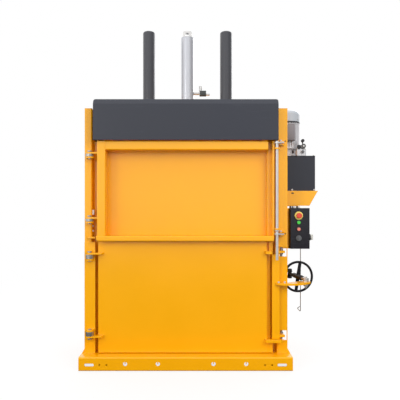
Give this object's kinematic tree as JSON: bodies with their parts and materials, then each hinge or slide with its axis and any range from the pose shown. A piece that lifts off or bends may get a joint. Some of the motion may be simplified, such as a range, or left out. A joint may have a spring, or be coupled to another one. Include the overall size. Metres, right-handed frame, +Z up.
{
  "type": "recycling baler",
  "caption": "Upright recycling baler with hinged feed and bale doors, a press cylinder between guide tubes, and a side-mounted power pack and control box.",
  "frame": {"origin": "on the floor, under the axis of the press cylinder", "axes": "+X to the machine's right seen from the front, -Y to its front, +Z up"},
  "size_m": [1.7375, 0.975, 2.575],
  "materials": {
    "paint": "golden orange powder coat, satin",
    "dark_paint": "anthracite powder coat, satin",
    "cowl_paint": "pale blue-grey paint, semi-gloss",
    "motor": "cast aluminium, left bare",
    "zinc": "zinc plated steel",
    "steel": "bright drawn steel",
    "chrome": "hard chromed",
    "cylinder": "silver paint",
    "black_plastic": "moulded, fine grain",
    "box": "moulded, fine grain",
    "red": "glossy red",
    "green": "glossy green",
    "grey_plastic": "grey",
    "ring": "pale yellow",
    "clear": "off-white"
  },
  "bodies": {
    "frame": {"base_front_beam": "paint", "base_rear_beam": "paint", "base_side_beams": "paint", "floor_deck": "paint", "floor_bars": "paint", "side_walls": "paint", "rear_wall": "paint", "wall_ribs": "paint", "left_column": "paint", "right_column": "paint", "crosshead": "paint", "top_cover": "dark_paint", "cylinder_barrel": "cylinder", "cylinder_cap": "zinc", "guide_tubes": "dark_paint", "cylinder_valve": "zinc", "frame_lugs": "paint", "hinge_pins": "zinc", "sensor_strip": "zinc", "lock_pins": "zinc", "rear_screw": "zinc", "anchor_bracket": "dark_paint", "pack_tray": "paint", "oil_tank": "dark_paint", "tank_lid": "dark_paint", "tank_filler": "black_plastic", "motor_body": "motor", "fan_cowl": "cowl_paint", "terminal_box": "motor", "valve_block": "steel", "valve_coils": "black_plastic", "control_box": "box", "box_bracket": "paint", "stop_collar": "ring", "control_bezels": "black_plastic", "isolator_base": "black_plastic"},
    "feed_door": {"feed_panel": "paint", "feed_left_post": "paint", "feed_top_rail": "paint", "feed_bottom_rail": "paint", "feed_right_stile": "paint", "feed_lugs": "paint"},
    "door_rod": {"door_rod": "zinc"},
    "bale_door": {"bale_skin": "paint", "bale_backing": "paint", "bale_edge": "paint", "bale_lugs": "paint"},
    "lock_post": {"lock_post": "paint", "lever_plate": "paint"},
    "handwheel": {"handwheel": "dark_paint"},
    "front_screw": {"front_screw": "zinc"},
    "ram": {"platen": "paint", "piston_rod": "chrome", "guide_rods": "steel"},
    "stop_button": {"stop_button": "red"},
    "green_button": {"green_button": "green"},
    "red_button": {"red_button": "red"},
    "selector": {"selector": "grey_plastic"},
    "isolator": {"isolator_knob": "clear"},
    "strap_hook": {"strap_hook": "steel"}
  },
  "joints": [
    {"name": "feed_door_hinge", "type": "hinge", "parent": "frame", "child": "feed_door", "pos_m": [-0.688, -0.444, 1.26], "axis": [0, 0, -1], "range_deg": [0, 110]},
    {"name": "door_rod_turn", "type": "hinge", "parent": "feed_door", "child": "door_rod", "pos_m": [0.646, -0.475, 1.2], "axis": [0, 0, 1], "range_deg": [0, 65]},
    {"name": "bale_door_hinge", "type": "hinge", "parent": "frame", "child": "bale_door", "pos_m": [-0.688, -0.444, 0.5], "axis": [0, 0, -1], "range_deg": [0, 110]},
    {"name": "handwheel_spin", "type": "hinge", "parent": "frame", "child": "handwheel", "pos_m": [0.84694, -0.21495, 0.622], "axis": [0.1547, -0.988, 0], "range_deg": [0, 1800]},
    {"name": "front_screw_slide", "type": "slide", "parent": "frame", "child": "front_screw", "axis": [0.1547, -0.988, 0], "range_m": [0, 0.06]},
    {"name": "lock_post_swing", "type": "hinge", "parent": "frame", "child": "lock_post", "pos_m": [0.69, -0.386, 0.5], "axis": [0, 0, -1], "range_deg": [0, 17.37]},
    {"name": "ram_stroke", "type": "slide", "parent": "frame", "child": "ram", "axis": [0, 0, 1], "range_m": [-0.7, 0]},
    {"name": "stop_button_press", "type": "slide", "parent": "frame", "child": "stop_button", "axis": [0, 1, 0], "range_m": [0, 0.0037]},
    {"name": "green_button_press", "type": "slide", "parent": "frame", "child": "green_button", "axis": [0, 1, 0], "range_m": [0, 0.0037], "stiffness_N_per_m": 800},
    {"name": "red_button_press", "type": "slide", "parent": "frame", "child": "red_button", "axis": [0, 1, 0], "range_m": [0, 0.0037], "stiffness_N_per_m": 800},
    {"name": "selector_turn", "type": "hinge", "parent": "frame", "child": "selector", "pos_m": [0.821, -0.365, 0.923], "axis": [0, 1, 0], "range_deg": [-45, 45]},
    {"name": "isolator_turn", "type": "hinge", "parent": "frame", "child": "isolator", "pos_m": [0.903, -0.285, 0.926], "axis": [1, 0, 0], "range_deg": [0, 90]},
    {"name": "strap_hook_swing", "type": "hinge", "parent": "frame", "child": "strap_hook", "pos_m": [0.878, -0.155, 0.9], "axis": [0, 1, 0], "range_deg": [-12, 2.5]}
  ],
  "couplings": [
    {"joint": "front_screw_slide", "follows": "handwheel_spin", "m_per_rad": 0.0019099},
    {"joint": "lock_post_swing", "follows": "handwheel_spin", "ratio": 0.00965}
  ]
}
